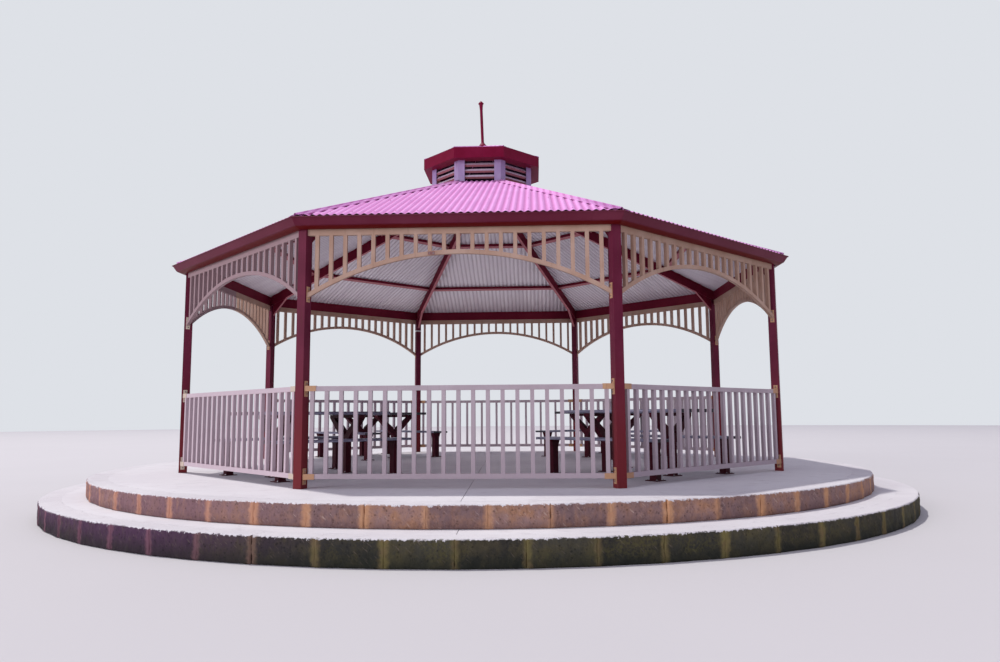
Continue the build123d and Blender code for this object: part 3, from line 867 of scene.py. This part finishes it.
def stoneRing(name, step):
    block = stoneBlock(step)
    radius, low, high = step["radius"], step["low"], step["low"] + step["rise"]
    places = []
    for i in range(step["count"]):
        slip = random.uniform(-step["slip"], step["slip"])
        bearing = math.radians(step["first"] + 360 / step["count"] * (i + 0.5) + slip) + math.pi / 2
        sunk = Matrix.Translation((0, random.uniform(0.0, step["sunk"]), 0))
        swing = Matrix.Rotation(random.uniform(-step["twist"], step["twist"]), 4, "Z")
        twist = Matrix.Translation((0, -radius, 0)) @ swing @ Matrix.Translation((0, radius, 0))
        places.append(Matrix.Rotation(bearing, 4, "Z") @ twist @ sunk)
    ring = spread(block, name, places)
    group = ring.vertex_groups.new(name="face")
    for v in ring.data.vertices:
        if math.hypot(v.co.x, v.co.y) > radius - step["depth"] / 2:
            fromEdge = min(v.co.z - low, high - v.co.z)
            group.add([v.index], 1.0 if fromEdge > step["rim"] else step["rimShare"], "REPLACE")
    for texture, depth in rockFace:
        modify(ring, "DISPLACE", texture=texture, texture_coords="GLOBAL", strength=depth,
               mid_level=step["midLevel"], vertex_group="face")
    edit(ring)
    for level, beyond in ((low + step["clear"], -1), (high, 1)):   # beds flattened again
        if pick(ring, "VERT", lambda v: (v.co.z - level) * beyond > 0):
            bpy.ops.transform.resize(value=(1, 1, 0), center_override=(0, 0, level))
    leave()
    smoothed(ring, 24)
    return ring


def spunRing(name, inner, outer, low, high):
    # a section between two radii, swept round the middle
    piece = startStrip(name, outer - inner, high - low)
    piece.rotation_euler.x = math.pi / 2
    piece.location = ((outer + inner) / 2, 0, (low + high) / 2)
    placed(piece)
    edit(piece)
    bpy.ops.mesh.delete(type="ONLY_FACE")
    bpy.ops.mesh.select_all(action="SELECT")
    bpy.ops.mesh.spin(steps=192, angle=2 * math.pi, center=(0, 0, 0), axis=(0, 0, 1))
    leave()
    tidied(piece, 30)
    return piece


def mortarBed(name, step):
    inner = step["radius"] - step["depth"] + step["bedUnder"]
    high = step["low"] + step["rise"] - step["bedUnder"]
    return spunRing(name, inner, step["radius"] - step["bedIn"], step["low"] + step["clear"], high)


for name, step, node, slot in (("upperStep", upperStep, "upper_step_wall", "pale_stone"),
                               ("lowerStep", lowerStep, "lower_step_wall", "weathered_stone")):
    finished(stoneRing(name + "Blocks", step), stoneCoat(name + "Stone", step), [node])
    finished(mortarBed(name + "Mortar", step), mortarCoat(name + "Mortar", step))
print("stone steps")


# concrete

sawCut = {"wide": 0.005, "deep": 0.02, "first": -88.5, "count": 8, "fromMiddle": 0.25, "past": 0.05, "under": 0.3}
slabEdge = {"width": 0.006, "drop": 0.001, "under": 0.0005, "corners": 256}
slabCoat = concreteCoat("slabConcrete")


def cutJoints(slab, top, inner, outer):
    size = (outer - inner, sawCut["wide"], sawCut["deep"] * 2)
    blade = startBox("blade", size, ((outer + inner) / 2, 0, top))
    bearings = [sawCut["first"] + 360 / sawCut["count"] * i for i in range(sawCut["count"])]
    blades = spread(blade, "blades", [Matrix.Rotation(math.radians(bearing), 4, "Z") for bearing in bearings])
    modify(slab, "BOOLEAN", object=blades, operation="DIFFERENCE", solver="EXACT")
    bpy.data.objects.remove(blades)
    smoothed(slab, 30)


def pouredSlab(name, node, radius, low, top, cutFrom):
    slab = startRod(name, radius, top - low, (0, 0, (low + top) / 2), slabEdge["corners"])
    edit(slab)
    pick(slab, "FACE", lambda f: f.normal.z > 0.9)
    bpy.ops.mesh.inset(thickness=slabEdge["width"])
    rim = radius - slabEdge["width"] / 2
    pick(slab, "VERT", lambda v: v.co.z > top - 0.001 and math.hypot(v.co.x, v.co.y) > rim)
    move((0, 0, -slabEdge["drop"]))
    leave()
    cutJoints(slab, top, cutFrom, radius + sawCut["past"])
    finished(slab, slabCoat, [node])


pouredSlab("floorConcrete", "floor_slab", upperStep["radius"] - upperStep["depth"],
           upperStep["low"], house["floor"], sawCut["fromMiddle"])
pouredSlab("treadConcrete", "lower_step_slab", lowerStep["radius"] - lowerStep["depth"],
           0.0, lowerStep["rise"] - slabEdge["under"], upperStep["radius"] - sawCut["under"])
print("concrete")


# picnic settings

picnic = {"diagonals": (1, 3, 5, 7), "distance": 2.865, "length": 1.83, "benchOut": 0.7,
          "frameAt": 0.5, "legAt": 0.765, "end": 0.006, "endEase": 0.002, "short": 0.008}
table = {"boards": 3, "wide": 0.76, "gap": 0.011, "thick": 0.04, "top": 1.205, "offsets": (0,)}
bench = {"boards": 2, "wide": 0.3, "gap": 0.008, "thick": 0.03, "top": 0.875,
         "offsets": (-picnic["benchOut"], picnic["benchOut"])}
plank = {"rib": 0.0093, "groove": 0.003, "flank": 0.0006, "deep": 0.0015, "wall": 0.0022, "return": 0.012}


def ribbedPlank(name, wide, length, thick):
    # crest, groove and its two flanks, repeated across, then turned down at both sides
    unit = plank["rib"] + plank["groove"]
    count = round(wide / unit)
    stretch = wide / (count * unit)
    flank = plank["flank"] * stretch
    x, z = plank["rib"] * stretch, 0
    piece = startStrip(name, x, length)
    edit(piece)
    move((x / 2, 0, 0))
    for dx, dz in ((flank, -plank["deep"]), ((plank["groove"] - 2 * plank["flank"]) * stretch, 0),
                   (flank, plank["deep"])):
        pick(piece, "EDGE", lambda e: all(abs(v.co.x - x) < 0.0001 and abs(v.co.z - z) < 0.0001 for v in e.verts))
        pull((dx, 0, dz))
        x, z = x + dx, z + dz
    leave()
    modify(piece, "ARRAY", count=count, use_relative_offset=False, use_constant_offset=True,
           constant_offset_displace=(unit * stretch, 0, 0), use_merge_vertices=True, merge_threshold=0.0001)
    edit(piece)
    move((-wide / 2, 0, 0))
    for hand in (-1, 1):
        pick(piece, "EDGE", lambda e: all(v.co.x * hand > wide / 2 - 0.0002 for v in e.verts)
             and abs(e.verts[0].co.y - e.verts[1].co.y) > length / 2)
        pull((0, 0, -thick + plank["wall"]))
        pull((-hand * plank["return"], 0, 0))
    leave()
    tidied(piece, 25)
    modify(piece, "SOLIDIFY", thickness=plank["wall"], offset=-1.0)
    return piece


def plankEnd(name, wide, thick):
    end = startBox(name, (wide, picnic["end"], thick), (0, 0, 0))
    modify(end, "BEVEL", width=picnic["endEase"], segments=2, limit_method="ANGLE")
    return end


def boardPlaces(plan, wide):
    return [spin @ Matrix.Translation(((i - (plan["boards"] - 1) / 2) * (wide + plan["gap"]) + out,
                                       -picnic["distance"], plan["top"]))
            for out in plan["offsets"] for spin in around(picnic["diagonals"]) for i in range(plan["boards"])]


def boardSet(name, node, plan):
    thick = plan["thick"]
    wide = (plan["wide"] - (plan["boards"] - 1) * plan["gap"]) / plan["boards"]
    places = boardPlaces(plan, wide)
    planks = ribbedPlank(name, wide, picnic["length"] - picnic["short"], thick)
    laid(planks, places, plankMetal, [node])
    reach = (picnic["length"] - picnic["end"]) / 2
    ends = [place @ Matrix.Translation((0, hand * reach, -thick / 2)) for place in places for hand in (-1, 1)]
    laid(plankEnd(name + "Ends", wide, thick), ends, endCap)


boardSet("tablePlanks", "table_tops", table)
boardSet("benchPlanks", "bench_seats", bench)
coatNodes(coats["furniture"], "table_frames", "bench_legs")

footBolt = {"head": 0.008, "washer": 0.0125, "height": 0.008, "spread": 0.06, "plate": 0.435}


def footBoltPlaces():
    feet = [(0, along) for along in (-picnic["frameAt"], picnic["frameAt"])]
    feet += [(out, along) for out in bench["offsets"] for along in (-picnic["legAt"], picnic["legAt"])]
    corners = [(a * footBolt["spread"], b * footBolt["spread"]) for a in (-1, 1) for b in (-1, 1)]
    return [spin @ Matrix.Translation((out + a, along - picnic["distance"] + b, footBolt["plate"]))
            for spin in around(picnic["diagonals"]) for out, along in feet for a, b in corners]


laid(hexScrew("footBolts", footBolt), footBoltPlaces(), zincBolt)
print("picnic settings")


# posts, balustrades and valances

corners = ("front_right", "right_front", "right_back", "back_right",
           "back_left", "left_back", "left_front", "front_left")
bays = ("front", "front_right", "right", "back_right", "back", "back_left", "left", "front_left")
railed = [bay for bay in bays if bay not in ("left", "right")]
coatNodes(coats["post"], *("post_" + corner for corner in corners))
coatNodes(coats["balustrade"], *("balustrade_" + bay for bay in railed))
coatNodes(coats["valance"], *("valance_" + bay for bay in bays))
coatNodes(coats["bracket"], "rail_brackets", "valance_brackets")
coatNodes(coats["frame"], "hip_rafters", "eaves_beams", "lower_purlins", "upper_purlins", "crown_ring",
          "knee_braces")

plateBolt = {"head": 0.007, "washer": 0.011, "height": 0.006, "apart": 0.055, "outset": 0.022,
             "toPlate": 0.05 + 0.006, "rails": (0.548, 1.426), "archFoot": 2.3957}


def plateBoltPlaces():
    # bolts on the plates at both ends of each bay, facing along the bay
    places = []
    outset = plateBolt["outset"]
    face = halfBay + outset * math.tan(half) - plateBolt["toPlate"] / math.cos(half)
    for sides, levels in (((0, 1, 3, 4, 5, 7), plateBolt["rails"]), (range(8), (plateBolt["archFoot"],))):
        for spin in around(sides):
            for hand in (-1, 1):
                turned = Matrix.Rotation(-hand * half, 4, "Z") @ Matrix.Rotation(-hand * math.pi / 2, 4, "Y")
                for level in [level + side * plateBolt["apart"] for level in levels for side in (-1, 1)]:
                    spot = Matrix.Translation((hand * face, -house["postLine"] - outset, level))
                    places.append(spin @ spot @ turned)
    return places


laid(hexScrew("plateBolts", plateBolt), plateBoltPlaces(), zincBolt)

splice = {"left": -0.311, "right": -0.240, "low": 2.788, "high": 2.822, "face": -3.905, "thick": 0.006,
          "head": 0.0045, "washer": 0.007, "height": 0.004, "apart": 0.02,
          "draft": 0.004, "sink": 0.001, "ease": 0.001, "colour": (146, 98, 92), "dark": (120, 78, 76)}


def spliceMiddle(out=0.0):
    return ((splice["left"] + splice["right"]) / 2, splice["face"] - splice["thick"] / 2 - out,
            (splice["low"] + splice["high"]) / 2)


def archSplice():
    # plate over the joint in the front arch, its edges eased
    size = (splice["right"] - splice["left"], splice["thick"], splice["high"] - splice["low"])
    plate = startBox("archSplice", size, spliceMiddle())
    edit(plate)
    pick(plate, "FACE", lambda f: f.normal.y < -0.9)
    bpy.ops.mesh.inset(thickness=splice["draft"])
    move((0, splice["sink"], 0))
    leave()
    modify(plate, "BEVEL", width=splice["ease"], segments=2, limit_method="ANGLE")
    return plate


finished(archSplice(), boltCoat("splicePaint", splice["colour"], splice["dark"], 0.0))
spliceFace = Vector(spliceMiddle(splice["thick"] / 2 - splice["sink"]))
spliceSpots = [spliceFace + Vector((side * splice["apart"], 0, 0)) for side in (-1, 1)]
facingOut = Matrix.Rotation(math.pi / 2, 4, "X")
laid(hexScrew("spliceScrews", splice), [Matrix.Translation(spot) @ facingOut for spot in spliceSpots],
     zincBolt)

strap = {"low": 2.855, "high": 2.884, "side": 0.1035, "thick": 0.0015, "ease": 0.0006, "bearing": 112.5,
         "colour": (226, 222, 224), "dark": (196, 188, 190)}


def postStrap():
    # a pale band drawn tight round the back left post
    bearing = math.radians(strap["bearing"])
    centre = Vector((math.cos(bearing), math.sin(bearing), 0)) * (halfBay / math.sin(half))
    middle = centre + Vector((0, 0, (strap["low"] + strap["high"]) / 2))
    band = startBox("postStrap", (strap["side"], strap["side"], strap["high"] - strap["low"]), (0, 0, 0))
    edit(band)
    pick(band, "FACE", lambda f: abs(f.normal.z) > 0.9)
    bpy.ops.mesh.delete(type="FACE")
    leave()
    modify(band, "SOLIDIFY", thickness=strap["thick"], offset=-1.0)
    modify(band, "BEVEL", width=strap["ease"], segments=1, limit_method="ANGLE")
    band.data.transform(Matrix.Translation(middle) @ Matrix.Rotation(bearing, 4, "Z"))
    return band


finished(postStrap(), boltCoat("strapCoat", strap["colour"], strap["dark"], 0.0))
print("posts, balustrades and valances")


# floor, light and camera

studio = {"floor": (204, 202, 202), "floorFar": (208, 206, 206), "wall": (222, 225, 231),
          "around": (0.80, 0.77, 1.0, 1), "strength": 0.53, "reach": 70}
lamps = {
    "key": {"kind": "AREA", "spot": (-34.4, 17.8, 120), "aim": (0, 0, 0.5),
            "look": {"shape": "DISK", "size": 4, "energy": 106000, "color": (1.0, 0.97, 0.95)}},
    "fill": {"kind": "SUN", "spot": (-14, -13, 5), "aim": (0, 0, 1.5),
             "look": {"energy": 1.2, "angle": math.radians(26), "color": (0.97, 0.96, 1.0)}},
}
view = {"camera": (0.761, -11.53, 1.145), "yaw": -2.526, "pitch": 6.337, "roll": -0.38,
        "lens": 27.35, "sensor": 36, "reach": 300}


def floorPlane():
    clearSelection()
    bpy.ops.mesh.primitive_circle_add(vertices=96, radius=studio["reach"], fill_type="NGON", location=(0, 0, -0.0005))
    floor = started("studioFloor")
    board = Board("studioFloor")
    colour = board.blend(board.noise(3.0, 2), studio["floor"], studio["floorFar"])
    floor.data.materials.append(board.coat(colour, 0.85))


def hang(name, plan):
    lamp = bpy.data.lights.new(name, plan["kind"])
    for key, value in plan["look"].items():
        setattr(lamp, key, value)
    holder = bpy.data.objects.new(name, lamp)
    holder.location = plan["spot"]
    towards = Vector(plan["aim"]) - Vector(plan["spot"])
    holder.rotation_euler = towards.to_track_quat("-Z", "Y").to_euler()
    bpy.context.scene.collection.objects.link(holder)


def backdrop():
    # the camera and glossy surfaces see the plain wall, all else the soft light round it
    world = bpy.data.worlds.new("studio")
    bpy.context.scene.world = world
    world.use_nodes = True
    tree = world.node_tree
    tree.nodes.clear()
    kinds = ("OutputWorld", "MixShader", "Background", "Background", "LightPath", "Math")
    out, mix, lighting, seen, path, either = (tree.nodes.new("ShaderNode" + kind) for kind in kinds)
    lighting.inputs["Color"].default_value = studio["around"]
    lighting.inputs["Strength"].default_value = studio["strength"]
    seen.inputs["Color"].default_value = tint(*studio["wall"])
    seen.inputs["Strength"].default_value = 1.0
    either.operation = "MAXIMUM"
    for start, end in ((path.outputs["Is Camera Ray"], either.inputs[0]),
                       (path.outputs["Is Glossy Ray"], either.inputs[1]),
                       (either.outputs[0], mix.inputs[0]), (lighting.outputs[0], mix.inputs[1]),
                       (seen.outputs[0], mix.inputs[2]), (mix.outputs[0], out.inputs["Surface"])):
        tree.links.new(start, end)


def photoCamera():
    yaw, pitch, roll = (math.radians(view[key]) for key in ("yaw", "pitch", "roll"))
    forward = Vector((math.sin(yaw) * math.cos(pitch), math.cos(yaw) * math.cos(pitch), math.sin(pitch)))
    right = Vector((math.cos(yaw), -math.sin(yaw), 0))
    up = right.cross(forward)
    sideways = math.cos(roll) * right + math.sin(roll) * up
    upright = -math.sin(roll) * right + math.cos(roll) * up
    lens = bpy.data.cameras.new("camera")
    lens.lens = view["lens"]
    lens.sensor_width = view["sensor"]
    lens.clip_end = view["reach"]
    camera = bpy.data.objects.new("camera", lens)
    basis = Matrix((sideways, upright, -forward)).transposed().to_4x4()
    camera.matrix_world = Matrix.Translation(view["camera"]) @ basis
    bpy.context.scene.collection.objects.link(camera)
    bpy.context.scene.camera = camera


floorPlane()
backdrop()
for name in lamps:
    hang(name, lamps[name])
photoCamera()
bpy.context.scene.view_settings.view_transform = "Standard"
print("studio")
